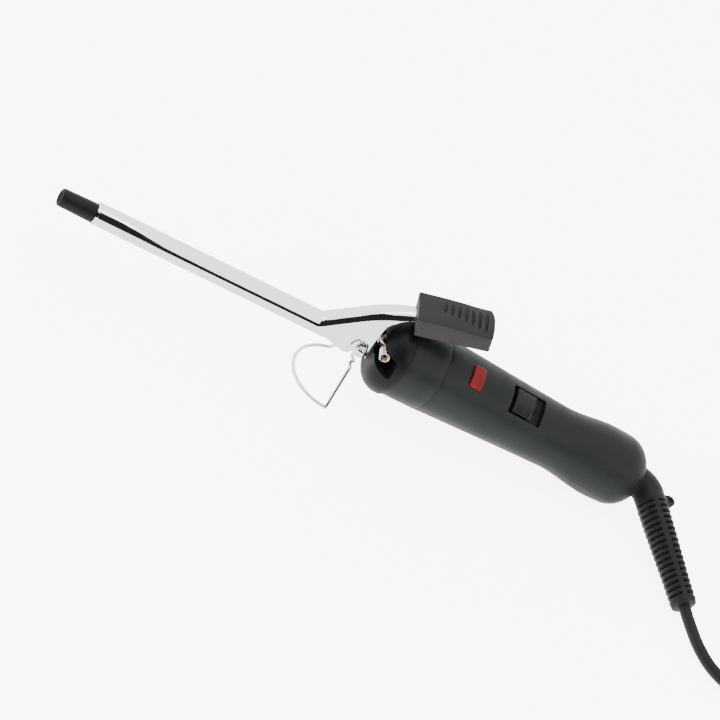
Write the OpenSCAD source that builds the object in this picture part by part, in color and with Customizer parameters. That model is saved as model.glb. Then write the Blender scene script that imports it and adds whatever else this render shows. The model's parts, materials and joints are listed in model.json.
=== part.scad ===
// Curling iron with a spring clip, a folding wire stand and a swivel cord.
// Every iron piece is drawn along a local axis: X runs from the clip pivot to the handle's rear,
// +Z is the lever side. place() then tilts the iron nose-up onto its stand.

/* [Stance] */
// Nose-up angle of the barrel when the iron rests on its wire stand
tilt = 3.8; // [3:0.1:5]
// Droop of the handle's axis from the barrel's axis
droop = 1.8; // [0:0.1:2]
// Height of the handle's axis above the barrel's, at the clip pivot
rise = 3.5; // [0:0.1:4]
// Turn of the handle's control side away from the lever, about the long axis
control_roll = 25; // [0:1:30]

/* [Barrel] */
// Outside diameter of the heated barrel
barrel_d = 9.5; // [9:0.1:10]
// Wall of the barrel tube
barrel_wall = 0.5; // [0.4:0.1:0.6]
// Distance from the clip pivot to the front end of the barrel tube
barrel_reach = 133.5; // [120:0.5:150]
// Length of the cool tip that stands out of the barrel
tip_len = 16.7; // [14:0.1:20]

/* [Clip] */
// Thickness of the clip's sheet steel
clip_t = 0.6; // [0.5:0.1:0.7]
// Half width across the clip's cheeks
cheek_y = 5.9; // [5.8:0.1:5.9]
// Height of the clip pivot above the barrel axis
pivot_z = 1.2; // [1:0.1:1.4]

/* [Stand] */
// Diameter of the stand wire
wire_d = 1.6; // [1.4:0.1:1.6]
// Half width of the stand's round foot
foot_half = 19.5; // [18:0.5:20]

/* [Handle] */
// Radius of the handle at its front
front_r = 17.5; // [17:0.1:18]
// Radius of the handle at its waist
waist_r = 14.4; // [14:0.1:15]
// Radius of the handle at its rear bulge
bulge_r = 16.6; // [16.2:0.1:17]
// Wall of the handle's shells
shell_wall = 2.2; // [2:0.1:2.4]

/* [Controls] */
// Travel of the slide switch
switch_travel = 4.5; // [4:0.5:5]

/* [Cord] */
// Diameter of the cord
cord_d = 5.5; // [5:0.1:6]
// Length of the ribbed boot behind the elbow
boot_len = 56; // [50:1:58]

/* [Hidden] */
$fn = 64;

// Handle outline: front, waist, bulge and a round end
flat_end = 35;
waist_x = 100;
bulge_x = 124;
dome_x = 131;
dome_len = 14.3;
dome_r = 16.2;
rim_a = 54;
function ease(t) = (1 - cos(180 * t)) / 2;
function handle_r(x) =
  x < flat_end ? front_r
  : x < waist_x ? waist_r + (front_r - waist_r) * pow((waist_x - x) / (waist_x - flat_end), 1.1)
  : x < bulge_x ? waist_r + (bulge_r - waist_r) * ease((x - waist_x) / (bulge_x - waist_x))
  : bulge_r - (bulge_r - dome_r) * ease((x - bulge_x) / (2 * (dome_x - bulge_x)));
function dome(off, last) = [for (a = [0 : last / 6 : last])
  [dome_x + (dome_len - off) * sin(a), (handle_r(dome_x) - off) * cos(a)]];

// Stance: the round end of the handle and the stand's two corners touch the ground
lean_a = tilt + droop;
dome_drop = norm([dome_len * sin(lean_a), handle_r(dome_x) * cos(lean_a)]);
axis_h = dome_x * sin(lean_a) + dome_drop - rise * cos(tilt);
origin_x = 3.4;
module place() translate([origin_x, 0, axis_h]) rotate([0, tilt, 0]) children();
module grip() place() translate([0, 0, rise]) rotate([0, droop, 0]) children();
module along_x(x) translate([x, 0, 0]) rotate([0, 90, 0]) children();
module control_side() rotate([control_roll, 0, 0]) children();
module rod(a, b, r) {
  d = b - a;
  translate(a) rotate([0, acos(d[2] / norm(d)), atan2(d[1], d[0])]) cylinder(h = norm(d), r = r);
}

// Barrel
barrel_r = barrel_d / 2;
bore_r = barrel_r - barrel_wall;
barrel_end = 30;
pin_r = 1.5;
pin_fit = 0.05;

// Nose cap
nose_r = 18.8;
nose_flat = 9.4;
nose_x = 6.1;
rim_x = 17.5;
nose_round = 9.4;
sleeve_end = 35;

// Controls
lamp_x = 49.9;
lamp_l = 6;
lamp_w = 10.5;
switch_x = 77;
recess_l = 16.5;
recess_w = 13;
slider_l = 9.6;
recess_floor = handle_r(switch_x) - 3.4;

// Elbow of the strain relief
elbow_r = 9;
elbow_a = 65;
elbow_x = 142.8;
elbow_roll = 96.5;
relief_r = 7;
boot_end_r = 5.8;
rib_pitch = 2.9;

// Cord route on the ground, from the boot to the coil
cord_r = cord_d / 2;
route = [
  [176.4, -54.7, 6], [180.5, -64, 4.6], [186, -75, 3.4], [193.7, -84.6, 2.8], [205, -91.7, 2.8],
  [218.2, -94.4, 2.8], [232.9, -92.8, 2.8], [246.9, -87.2, 2.8], [259.3, -77.6, 2.8], [269, -64.5, 2.8],
  [276.2, -48.5, 2.8], [280.2, -32, 2.8], [280.95, -15, 2.8]
];
coil_x = 242.7;
coil_y = -15;
coil_out = 41;
coil_h = 3 * cord_d;
coil_in = coil_out - coil_h;

// ---------------------------------------------------------------- barrel

module barrel_tube() color("gainsboro") place() difference() {
  along_x(-barrel_reach) cylinder(h = barrel_reach + barrel_end, r = barrel_r);
  along_x(-barrel_reach - 1) cylinder(h = barrel_reach + barrel_end + 2, r = bore_r);
  translate([0, 0, pivot_z]) rotate([90, 0, 0]) cylinder(h = 30, r = pin_r + 0.02, center = true);
}

module barrel_tip() color("black") place() along_x(-barrel_reach - tip_len) rotate_extrude() polygon([
  [0, 1.2], [2.3, 1.2], [3, 0], [3.7, 0.2], [4.2, 1], [4.45, tip_len - 0.6],
  [4.35, tip_len], [bore_r - 0.05, tip_len], [bore_r - 0.05, tip_len + 8], [0, tip_len + 8]
]);

core_front = -124;
core_rear = -8;
module heater_core() color("ivory") place() difference() {
  along_x(core_front) cylinder(h = core_rear - core_front, r = 2.2);
  along_x(core_front - 1) cylinder(h = core_rear - core_front + 2, r = 0.8);
}

turn_count = 27;
turn_pitch = 4;
module heater_winding() color("peru") place()
  along_x(core_front + 3) for (i = [0 : turn_count - 1]) translate([0, 0, i * turn_pitch]) rotate_extrude()
    translate([2.2, 0]) square([0.6, 2.4]);

module insulation_sleeve() color("wheat") place() difference() {
  along_x(core_front) cylinder(h = core_rear - core_front, r = bore_r - 0.05);
  along_x(core_front - 1) cylinder(h = core_rear - core_front + 2, r = bore_r - 0.85);
}

// ---------------------------------------------------------------- clip

blade_in = barrel_r + 0.15;
blade_out = blade_in + clip_t;
blade_front = -132.6;
elbow_front = -21;
blade_edge = 80;
arch = [[-22, blade_out], [-20, 6.6], [-16, 10.5], [-11.7, 14.6], [-5.6, 20.4], [0.2, 24.7], [6, 28.2],
  [10, 29.9], [14, 30.9], [20, 32.2], [39, 36.8]];
function arch_under(i) = arch[i] + clip_t * [sin(34), -cos(34)];
module blade_sector(r) {
  reach = 2 * blade_out;
  intersection() {
    circle(r = r);
    polygon([[0, 0], [reach * sin(blade_edge), reach * cos(blade_edge)], [reach, 2 * reach],
      [-reach, 2 * reach], [-reach * sin(blade_edge), reach * cos(blade_edge)]]);
  }
}
module blade() translate([blade_front, 0, 0]) rotate([90, 0, 90])
  linear_extrude(elbow_front - blade_front) difference() {
    blade_sector(blade_out);
    circle(r = blade_in);
  }
module top_strip() rotate([90, 0, 0]) linear_extrude(2 * cheek_y, center = true)
  polygon(concat(arch, [for (i = [len(arch) - 1 : -1 : 0]) arch_under(i)]));
module cheek() rotate([90, 0, 0]) linear_extrude(0.7) difference() {
  union() {
    polygon([[-24, 0.95], [-18, -0.8], [-4.6, -4.4], [-1.6, -5.3], [2.4, -4], [4.2, -2.4], [4.4, 5], [4, 9], [2.9, 13.5],
      [3.3, 18], [6, 22.8], [9.8, 26.2], [14, 28.2], [20, 30], [30, 32.6], [30, 34], [20, 31.6], [14, 30.3],
      [10, 29.3], [6, 27.6], [0.2, 24.1], [-5.6, 19.8], [-11.7, 14], [-16, 9.9], [-20, 5.9], [-24, 5]]);
    translate([0, pivot_z]) circle(r = 5.6);
  }
  translate([0, pivot_z]) circle(r = pin_r + pin_fit);
}
module clip() color("silver") place() {
  blade();
  top_strip();
  translate([0, -cheek_y + 0.7, 0]) cheek();
  translate([0, cheek_y, 0]) cheek();
}

lever_w = 18.4;
slot_count = 7;
module lever_profile() polygon([[11, 32.6], [11.6, 33.6], [27, 38.3], [41.6, 42.2], [43, 41.5],
  [45.4, 35.8], [44.8, 34.7], [15, 24.4], [13.8, 24.8]]);
module thumb_lever() color([0.2, 0.19, 0.2]) place() difference() {
  rotate([90, 0, 0]) linear_extrude(lever_w, center = true) lever_profile();
  // pocket for the clip's tail
  rotate([90, 0, 0]) linear_extrude(2 * cheek_y + 0.1, center = true)
    polygon([[8, 22], [12, 26.6], [20, 29.8], [30, 32.4], [30, 33.4], [39.4, 35.8], [39.3, 36.95],
      [20, 32.25], [14, 30.95], [8, 29.4]]);
  for (i = [0 : slot_count - 1])
    translate([26.6 + 2.3 * i, -6.2, 38.2 + 0.6 * i]) rotate([0, -15, 0])
      translate([0, 0, -1.1]) cube([1.1, 7.2 + 0.6 * i, 4]);
}

head_y = 7.9;
module pivot_pin() color("silver") place() translate([0, 0, pivot_z]) rotate([90, 0, 0]) {
  cylinder(h = 2 * head_y, r = pin_r, center = true);
  for (s = [0, 180]) rotate([s, 0, 0]) translate([0, 0, head_y - 0.01])
    rotate_extrude() polygon([[0, 0], [2.6, 0], [2.3, 0.5], [1.6, 0.9], [0, 1]]);
}

spring_x = 8.2;
spring_z = 8.2;
coil_r = 2.05;
spring_wire = 0.45;
bush_y = 11.2;
bush_r = 1.5;
flange_r = 2.1;
flange_y = 6;
module spring_bush() color("darkgoldenrod") place() translate([spring_x, 0, spring_z]) rotate([90, 0, 0])
  rotate_extrude() polygon([
    [0.9, -bush_y], [bush_r, -bush_y], [bush_r, -flange_y - 0.4], [flange_r, -flange_y - 0.4], [flange_r, -flange_y],
    [bush_r, -flange_y], [bush_r, flange_y], [flange_r, flange_y], [flange_r, flange_y + 0.4], [bush_r, flange_y + 0.4],
    [bush_r, bush_y], [0.9, bush_y]
  ]);
module clip_spring() color("lightgray") place() translate([spring_x, 0, spring_z]) {
  for (s = [-1, 1], i = [0 : 5]) translate([0, s * (6.9 + 0.95 * i), 0])
    rotate([90, 0, 0]) rotate_extrude($fn = 32) translate([coil_r, 0]) circle(r = spring_wire, $fn = 12);
  // hooked legs that push on the rear edges of the clip's cheeks
  for (s = [-1, 1]) {
    rod([0.3, s * 6.9, coil_r - 0.06], [-4, s * 6.9, 3.2], spring_wire - 0.06);
    rod([-4, s * 7.3, 3.2], [-4, s * 5.3, 3.2], spring_wire);
  }
}

// ---------------------------------------------------------------- stand

wire_r = wire_d / 2;
bead_r = 1.12 * wire_r;
eye_wire_r = 0.85;
eye_y = 6.9;
eye_r = pin_r + pin_fit + eye_wire_r;
knee = [-0.6, 10.3, pivot_z - 7.6];
lean = 2.5;
// the corner's bead just touches the ground
corner_x = -1.2;
ground_drop = (axis_h - bead_r - corner_x * sin(tilt)) / cos(tilt);
corner = [corner_x, foot_half, -ground_drop];
// the foot is a little more than a flat arc between the corners
foot_back = 2.92;
foot_r = norm([foot_half, foot_back]);
foot_a = atan2(foot_half, foot_back);
module wire_stand() color("silver") place() {
  for (s = [-1, 1]) scale([1, s, 1]) {
    translate([0, eye_y, pivot_z]) rotate([90, 0, 0]) rotate_extrude() translate([eye_r, 0]) circle(r = eye_wire_r);
    rod([0, eye_y, pivot_z - eye_r], knee, wire_r);
    translate(knee) sphere(r = bead_r);
    rod(knee, corner, wire_r);
    translate(corner) sphere(r = bead_r);
  }
  translate([corner[0], 0, corner[2]]) rotate([0, -tilt, 0]) translate([foot_back, 0, 0])
    rotate([0, 0, 180 - foot_a]) rotate_extrude(angle = 2 * foot_a) translate([foot_r, 0]) circle(r = wire_r);
}

// ---------------------------------------------------------------- handle

module nose_body() difference() {
  grip() along_x(0) rotate_extrude() difference() {
    polygon(concat([[0, nose_x]],
      [for (a = [0 : 10 : 90]) [nose_flat + nose_round * sin(a), nose_x + nose_round * (1 - cos(a))]],
      [[nose_r, rim_x], [14.3, rim_x], [14.3, 30], [0, 30]]));
    polygon([[8.6, 15], [12.4, 15], [12.4, 31], [8.6, 31]]);
  }
  place() along_x(nose_x - 1) cylinder(h = 30, r = barrel_r + 0.02);
}
slot_z = [3, 11.6];
ear_t = 1.4;
module nose_cap() color([0.12, 0.12, 0.12]) difference() {
  union() {
    difference() {
      nose_body();
      // slot across the nose for the spring and the clip's cheeks
      place() translate([nose_x - 1, -nose_r, slot_z[0]]) cube([8.4, 2 * nose_r, slot_z[1] - slot_z[0]]);
    }
    // ears that carry the spring's bush
    for (s = [-1, 1]) place() translate([6.4, s * 3.2 - ear_t / 2, 5.3]) cube([7.6, ear_t, 7]);
  }
  place() translate([spring_x, 0, spring_z]) rotate([90, 0, 0])
    cylinder(h = 20, r = bush_r + 0.01, center = true);
}

module front_sleeve() color([0.22, 0.23, 0.22]) grip() along_x(0) rotate_extrude() polygon([
  [14.35, rim_x], [17.75, rim_x], [17.95, rim_x + 0.3], [front_r + 0.1, sleeve_end], [14.35, sleeve_end]
]);

rear_wall_x = 134;
rear_hole = 7.3;
rim = dome(0, rim_a)[6];
module shell_body() along_x(0) rotate_extrude() polygon(concat(
  [for (x = [sleeve_end : 4 : 127]) [handle_r(x), x]],
  [for (p = dome(0, rim_a)) [p[1], p[0]]],
  [[rim[1] - 0.7, rim[0]], [rear_hole, 139.6], [rear_hole, rear_wall_x]],
  [for (p = [dome(shell_wall, rim_a)[2], dome(shell_wall, rim_a)[0]]) [p[1], p[0]]],
  [for (x = [127 : -4 : sleeve_end]) [handle_r(x) - shell_wall, x]]
));
boss_x = [41.5, 118];
module half_space(s) translate([0, -40, s > 0 ? 0 : -80]) cube([200, 80, 80]);

module upper_shell() color([0.22, 0.23, 0.22]) grip() control_side() difference() {
  union() {
    intersection() {
      shell_body();
      half_space(1);
    }
    for (x = boss_x) translate([x, 0, 0]) cylinder(h = handle_r(x) - 1, r = 3);
  }
  // indicator window
  translate([lamp_x - lamp_l / 2, -lamp_w / 2, 10]) cube([lamp_l, lamp_w, 10]);
  // switch recess, floor slot and side groove
  translate([switch_x - recess_l / 2, -recess_w / 2, recess_floor]) cube([recess_l, recess_w, 10]);
  translate([switch_x - 5.2, -1.6, 5]) cube([10.4, 3.2, 12]);
  for (x = boss_x) translate([x, 0, -1]) cylinder(h = 12, r = 1.1);
}

module lower_shell() color([0.2, 0.21, 0.2]) grip() control_side() difference() {
  union() {
    intersection() {
      shell_body();
      half_space(-1);
    }
    for (x = boss_x) translate([x, 0, -handle_r(x) + 1]) cylinder(h = handle_r(x) - 1, r = 3);
  }
  for (x = boss_x) translate([x, 0, -20]) cylinder(h = 21, r = 1.45);
  for (x = boss_x) translate([x, 0, -20]) cylinder(h = 20 - handle_r(x) + 4.5, r = 2.6);
}

module shell_screws() color("silver") grip() control_side() for (x = boss_x)
  translate([x, 0, -handle_r(x) + 4.5]) difference() {
    union() {
      cylinder(h = 18.5, r = 1.05);
      translate([0, 0, -1.8]) cylinder(h = 1.8, r = 2.5);
    }
    translate([-1.6, -0.25, -2.2]) cube([3.2, 0.5, 1]);
    translate([-0.25, -1.6, -2.2]) cube([0.5, 3.2, 1]);
  }

module indicator_lens() color([0.6, 0.1, 0.1]) grip() control_side() {
  translate([lamp_x - lamp_l / 2 + 0.05, -lamp_w / 2 + 0.05, 12.5])
    cube([lamp_l - 0.1, lamp_w - 0.1, handle_r(lamp_x) - 12.5 + 0.8]);
  translate([lamp_x - lamp_l / 2 - 0.8, -lamp_w / 2 - 0.8, 12]) cube([lamp_l + 1.6, lamp_w + 1.6, 1]);
}

module neon_lamp() color("orange") grip() control_side() translate([lamp_x, 0, 9.5]) rotate([90, 0, 0])
  cylinder(h = 9, r = 2, center = true);

slider_x = switch_x - recess_l / 2 + 2 + slider_l / 2;
slider_w = 11.8;
module switch_slider() color([0.1, 0.1, 0.1]) grip() control_side() translate([slider_x, 0, 0]) {
  difference() {
    translate([-slider_l / 2, -slider_w / 2, recess_floor + 0.3]) cube([slider_l, slider_w, 2.9]);
    for (i = [0 : 4]) translate([-3.6 + 1.6 * i, -recess_w / 2, recess_floor + 2.6]) cube([0.8, recess_w, 2]);
  }
  translate([-1.4, -1.2, 8.6]) cube([2.8, 2.4, recess_floor - 8]);
}

module switch_body() color("black") grip() control_side() difference() {
  translate([switch_x - 8, -4, 1.6]) cube([16, 8, 8]);
  translate([switch_x - 6.4, -1.6, 6]) cube([12.8, 3.2, 10]);
}

module terminal_board() color("darkolivegreen") grip() control_side()
  translate([46.6, -7.6, -1.6]) cube([56, 15.2, 1.6]);

module thermal_fuse() color("lightgray") grip() control_side() translate([54, 7.5, 3]) along_x(0) {
  cylinder(h = 12, r = 2);
  translate([0, 0, -6]) cylinder(h = 24, r = 0.5);
}

module lead_wires() color("firebrick") grip() control_side() for (s = [-1, 1]) {
  rod([104, s * 4.4, 1], [123.4, s * 4.4, 0.5], 0.9);
  rod([31, s * 2.4, 0], [38, s * 5.4, 1], 0.9);
}

// ---------------------------------------------------------------- swivel and strain relief

module swivel_hub() color("dimgray") grip() along_x(127) difference() {
  rotate_extrude() polygon([[0, 0], [3.2, 0], [3.2, 5], [9.6, 5], [9.6, 6.7], [6, 6.7], [6, elbow_x - 127],
    [0, elbow_x - 127]]);
  translate([0, 0, -0.1]) cylinder(h = 6, r = 1.2);
}

module contact_brushes() color("goldenrod") grip() control_side() for (s = [-1, 1])
  translate([123.5, s * 3.65 - 0.2, -1.5]) cube([8, 0.4, 3]);

// the relief turns through its elbow, then runs on straight
module bend_frame() grip() translate([elbow_x, 0, 0]) rotate([elbow_roll, 0, 0]) children();
module boot_frame() bend_frame()
  translate([elbow_r * sin(elbow_a), 0, elbow_r * (1 - cos(elbow_a))]) rotate([0, 90 - elbow_a, 0]) children();
module relief_elbow() color([0.13, 0.13, 0.13]) bend_frame() translate([0, 0, elbow_r]) rotate([90, 0, 0])
  rotate([0, 0, -90]) rotate_extrude(angle = elbow_a) translate([elbow_r, 0]) circle(r = relief_r);

rib_count = 17;
rib_depth = 0.9;
rib_start = 5.2;
function rib_r(i) = relief_r - (relief_r - boot_end_r) * i / rib_count;
lug_x = 10.4;
lug_z = 2.3;
lug_t = 3;
module relief_boot() color([0.13, 0.13, 0.13]) boot_frame() {
  rotate_extrude() polygon(concat(
    [[0, 0], [relief_r, 0]],
    [for (i = [0 : rib_count], k = [0 : 3]) [rib_r(i) - (k == 1 || k == 2 ? rib_depth : 0),
      rib_start + i * rib_pitch + [0, 0.2, 1.1, 1.3][k]]],
    [[boot_end_r - 0.2, boot_len], [0, boot_len]]));
  // hanging lug
  translate([lug_x, 0, lug_z]) rotate([90, 0, 0]) difference() {
    union() {
      cylinder(h = lug_t, r = 2.7, center = true);
      translate([-5, -2.2, -lug_t / 2]) cube([5, 4.4, lug_t]);
    }
    cylinder(h = lug_t + 1, r = 1.2, center = true);
  }
}

// ---------------------------------------------------------------- cord and plug

function unit(v) = v / norm(v);
function spline(p, i, t) = let(a = p[max(i - 1, 0)], b = p[i], c = p[i + 1], d = p[min(i + 2, len(p) - 1)])
  0.5 * ((2 * b) + (c - a) * t + (2 * a - 5 * b + 4 * c - d) * t * t + (3 * b - a - 3 * c + d) * t * t * t);
path = concat([for (i = [0 : len(route) - 2], t = [0, 0.5]) spline(route, i, t)], [route[len(route) - 1]]);
cord_sides = 10;
module sweep(path, r, sides) {
  n = len(path);
  points = [for (i = [0 : n - 1]) let(
      d = unit(path[min(i + 1, n - 1)] - path[max(i - 1, 0)]),
      side = unit(cross([0, 0, 1], d)),
      up = cross(d, side))
    for (k = [0 : sides - 1]) path[i] + r * (cos(360 * k / sides) * side + sin(360 * k / sides) * up)];
  faces = concat(
    [[for (k = [0 : sides - 1]) k]],
    [for (i = [0 : n - 2], k = [0 : sides - 1]) [i * sides + k, (i + 1) * sides + k,
      (i + 1) * sides + (k + 1) % sides, i * sides + (k + 1) % sides]],
    [[for (k = [sides - 1 : -1 : 0]) (n - 1) * sides + k]]);
  polyhedron(points = points, faces = faces, convexity = 8);
}
module cord() color([0.1, 0.1, 0.1]) sweep(path, cord_r - 0.02, cord_sides);

module cord_coil() color([0.1, 0.1, 0.1]) translate([coil_x, coil_y, 0.05]) rotate_extrude()
  translate([coil_in, 0]) square([coil_out - coil_in, coil_h]);

tie_w = 5;
module cord_tie() color([0.15, 0.15, 0.15]) translate([coil_x, coil_y + (coil_in + coil_out) / 2, 0])
  rotate([0, 90, 0]) linear_extrude(tie_w, center = true) difference() {
    translate([-coil_h - 1.1, -(coil_out - coil_in) / 2 - 1]) square([coil_h + 1.1, coil_out - coil_in + 2]);
    translate([-coil_h - 0.1, -(coil_out - coil_in) / 2 - 0.3]) square([coil_h + 0.04, coil_out - coil_in + 0.6]);
  }

// the plug lies on the coil, tangent to its turns
plug_h = 12;
plug_turn = -115;
turn_r = (coil_in + coil_out) / 2;
module on_coil() translate([coil_x + turn_r * cos(plug_turn), coil_y + turn_r * sin(plug_turn), coil_h + 0.1])
  rotate([0, 0, plug_turn + 90]) translate([28, 0, 0]) children();
module plug_body() color([0.1, 0.1, 0.1]) on_coil() difference() {
  union() {
    translate([-14, -11, 0]) cube([20, 22, plug_h]);
    translate([-14, 0, plug_h / 2]) rotate([0, -90, 0]) cylinder(h = 14, r = 4.5);
  }
  for (s = [-1, 1]) translate([-4, s * 6.35 - 0.8, plug_h / 2 - 3.2]) cube([12, 1.6, 6.4]);
}
module plug_blades() color("gold") on_coil() for (s = [-1, 1]) difference() {
  translate([-3.9, s * 6.35 - 0.75, plug_h / 2 - 3.15]) cube([25, 1.5, 6.3]);
  translate([17.6, s * 6.35, plug_h / 2]) rotate([90, 0, 0]) cylinder(h = 4, r = 1.5, center = true);
}

barrel_tube();
barrel_tip();
heater_core();
heater_winding();
insulation_sleeve();
clip();
thumb_lever();
pivot_pin();
spring_bush();
clip_spring();
wire_stand();
nose_cap();
front_sleeve();
upper_shell();
lower_shell();
shell_screws();
indicator_lens();
neon_lamp();
switch_slider();
switch_body();
terminal_board();
thermal_fuse();
lead_wires();
swivel_hub();
contact_brushes();
relief_elbow();
relief_boot();
cord();
cord_coil();
cord_tie();
plug_body();
plug_blades();
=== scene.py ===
import json
import math

import bmesh
import bpy
from mathutils import Matrix, Vector

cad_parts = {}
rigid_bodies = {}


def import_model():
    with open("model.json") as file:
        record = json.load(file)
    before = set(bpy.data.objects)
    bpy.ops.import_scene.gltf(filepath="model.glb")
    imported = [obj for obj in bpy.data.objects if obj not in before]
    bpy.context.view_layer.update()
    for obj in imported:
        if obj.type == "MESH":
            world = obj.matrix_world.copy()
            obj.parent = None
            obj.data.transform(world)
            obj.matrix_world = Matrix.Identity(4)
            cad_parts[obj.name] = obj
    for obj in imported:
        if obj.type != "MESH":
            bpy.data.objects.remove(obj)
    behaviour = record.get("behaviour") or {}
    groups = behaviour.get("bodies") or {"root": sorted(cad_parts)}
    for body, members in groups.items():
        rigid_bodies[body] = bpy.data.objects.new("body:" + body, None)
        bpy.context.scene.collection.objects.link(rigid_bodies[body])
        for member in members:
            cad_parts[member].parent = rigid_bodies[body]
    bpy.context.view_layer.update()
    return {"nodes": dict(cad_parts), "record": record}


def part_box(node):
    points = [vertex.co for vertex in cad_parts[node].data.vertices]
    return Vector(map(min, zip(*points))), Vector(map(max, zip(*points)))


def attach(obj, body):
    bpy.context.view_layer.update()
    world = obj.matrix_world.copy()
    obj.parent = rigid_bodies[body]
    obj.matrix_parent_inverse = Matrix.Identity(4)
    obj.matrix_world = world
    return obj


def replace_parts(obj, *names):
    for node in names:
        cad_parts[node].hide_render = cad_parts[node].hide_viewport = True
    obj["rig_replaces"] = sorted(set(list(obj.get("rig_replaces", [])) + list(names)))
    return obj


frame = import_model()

# Curling iron at rest on its wire stand. Pieces are modelled in millimetres along the iron's own axis
# (x from the clip pivot to the handle's rear, +z the lever side) and then put in place with IRON.

joints = {j["name"]: j for j in frame["record"]["behaviour"]["joints"]}

# the handle's axis droops from the barrel's and runs a little above it
PIVOT_Z, DROOP, RISE = 1.2, math.radians(1.8), 3.5
along = Matrix.Rotation(-DROOP, 3, "Y") @ Vector(joints["cord_turn"]["axis"]).normalized()
across = Vector((0, 1, 0))
lever = along.cross(across)
pivot = Vector(joints["clip_squeeze"]["pos_m"])
AXES = Matrix((along, across, lever)).transposed()
IRON = (Matrix.Translation(pivot) @ AXES.to_4x4() @ Matrix.Scale(0.001, 4)
        @ Matrix.Translation((0, 0, -PIVOT_Z)))
TO_GRIP = Matrix.Translation((0, 0, RISE)) @ Matrix.Rotation(DROOP, 4, "Y")
GRIP = IRON @ TO_GRIP
CONTROL = GRIP @ Matrix.Rotation(math.radians(25), 4, "X")
WORLD = Matrix.Scale(0.001, 4)
# turns a lathe's x axis to lie along y, across the iron
ACROSS = Matrix.Rotation(math.radians(90), 4, "Z")


# ------------------------------------------------------------------ camera, floor and light

def aim(obj, at, target):
    obj.location = at
    obj.rotation_euler = (Vector(target) - Vector(at)).to_track_quat("-Z", "Y").to_euler()


# the view's axes, from the iron's own, and the point that the camera looks at
RIGHT = AXES @ Vector((0.8498, 0.0439, 0.5253))
UP = AXES @ Vector((-0.4145, 0.6712, 0.6145))
TOWARD = RIGHT.cross(UP)
centre = IRON @ Vector((5.6, 0, -8.9)) + UP * 0.00035
VIEW_WIDTH = 0.3125
DISTANCE = 3.0

camera = bpy.data.objects.new("camera", bpy.data.cameras.new("camera"))
bpy.context.scene.collection.objects.link(camera)
turned = Matrix((RIGHT, UP, TOWARD)).transposed().to_4x4()
camera.matrix_world = Matrix.Translation(centre + TOWARD * DISTANCE) @ turned
camera.data.sensor_width = 36
camera.data.lens = 36 * DISTANCE / VIEW_WIDTH
camera.data.clip_end = 20
bpy.context.scene.camera = camera


def plane(name, corners):
    mesh = bpy.data.meshes.new(name)
    mesh.from_pydata(corners, [], [tuple(range(len(corners)))])
    obj = bpy.data.objects.new(name, mesh)
    bpy.context.scene.collection.objects.link(obj)
    return obj


def softbox(name, at, target, width, height, power):
    light = bpy.data.lights.new(name, "AREA")
    light.shape = "RECTANGLE"
    light.size = width
    light.size_y = height
    light.energy = power
    obj = bpy.data.objects.new(name, light)
    bpy.context.scene.collection.objects.link(obj)
    aim(obj, at, target)
    return obj


# ------------------------------------------------------------------ materials

class Graph:
    """A material's nodes, with the coordinates in metres of the piece's own space."""

    def __init__(self, name):
        self.material = bpy.data.materials.new(name)
        self.material.use_nodes = True
        self.tree = self.material.node_tree
        self.tree.nodes.clear()
        out = self.tree.nodes.new("ShaderNodeOutputMaterial")
        self.shader = self.tree.nodes.new("ShaderNodeBsdfPrincipled")
        self.tree.links.new(self.shader.outputs[0], out.inputs[0])
        self.coords = self.tree.nodes.new("ShaderNodeTexCoord").outputs["Object"]

    def node(self, kind, inputs=(), **settings):
        n = self.tree.nodes.new(kind)
        for key, value in settings.items():
            setattr(n, key, value)
        for key, value in dict(inputs).items():
            if isinstance(value, bpy.types.NodeSocket):
                self.tree.links.new(value, n.inputs[key])
            else:
                n.inputs[key].default_value = value
        return n

    def stretched(self, scale, turn=(0, 0, 0)):
        n = self.node("ShaderNodeMapping", {"Vector": self.coords, "Scale": scale, "Rotation": turn})
        return n.outputs[0]

    def noise(self, scale, detail=3.0, rough=0.5, vector=None):
        inputs = {"Vector": vector or self.coords, "Scale": scale, "Detail": detail, "Roughness": rough}
        return self.node("ShaderNodeTexNoise", inputs).outputs["Fac"]

    def spread(self, value, low, high, to_low, to_high):
        inputs = {"Value": value, "From Min": low, "From Max": high, "To Min": to_low, "To Max": to_high}
        return self.node("ShaderNodeMapRange", inputs).outputs[0]

    def maths(self, what, a, b):
        n = self.node("ShaderNodeMath", {0: a, 1: b}, operation=what)
        return n.outputs[0]

    def mix(self, amount, a, b):
        n = self.node("ShaderNodeMix", {0: amount, 6: a, 7: b}, data_type="RGBA")
        return n.outputs[2]

    def set(self, **values):
        for key, value in values.items():
            socket = self.shader.inputs[key.replace("_", " ")]
            if isinstance(value, bpy.types.NodeSocket):
                self.tree.links.new(value, socket)
            else:
                socket.default_value = value

    def bump(self, height, strength, distance, under=None):
        inputs = {"Height": height, "Strength": strength, "Distance": distance}
        if under is not None:
            inputs["Normal"] = under
        return self.node("ShaderNodeBump", inputs).outputs[0]

    def edges(self, low=0.52, high=0.6):
        point = self.node("ShaderNodeNewGeometry").outputs["Pointiness"]
        return self.spread(point, low, high, 0.0, 1.0)


def shade(colour, factor):
    return tuple(min(1.0, c * factor) for c in colour) + (1.0,)


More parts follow.
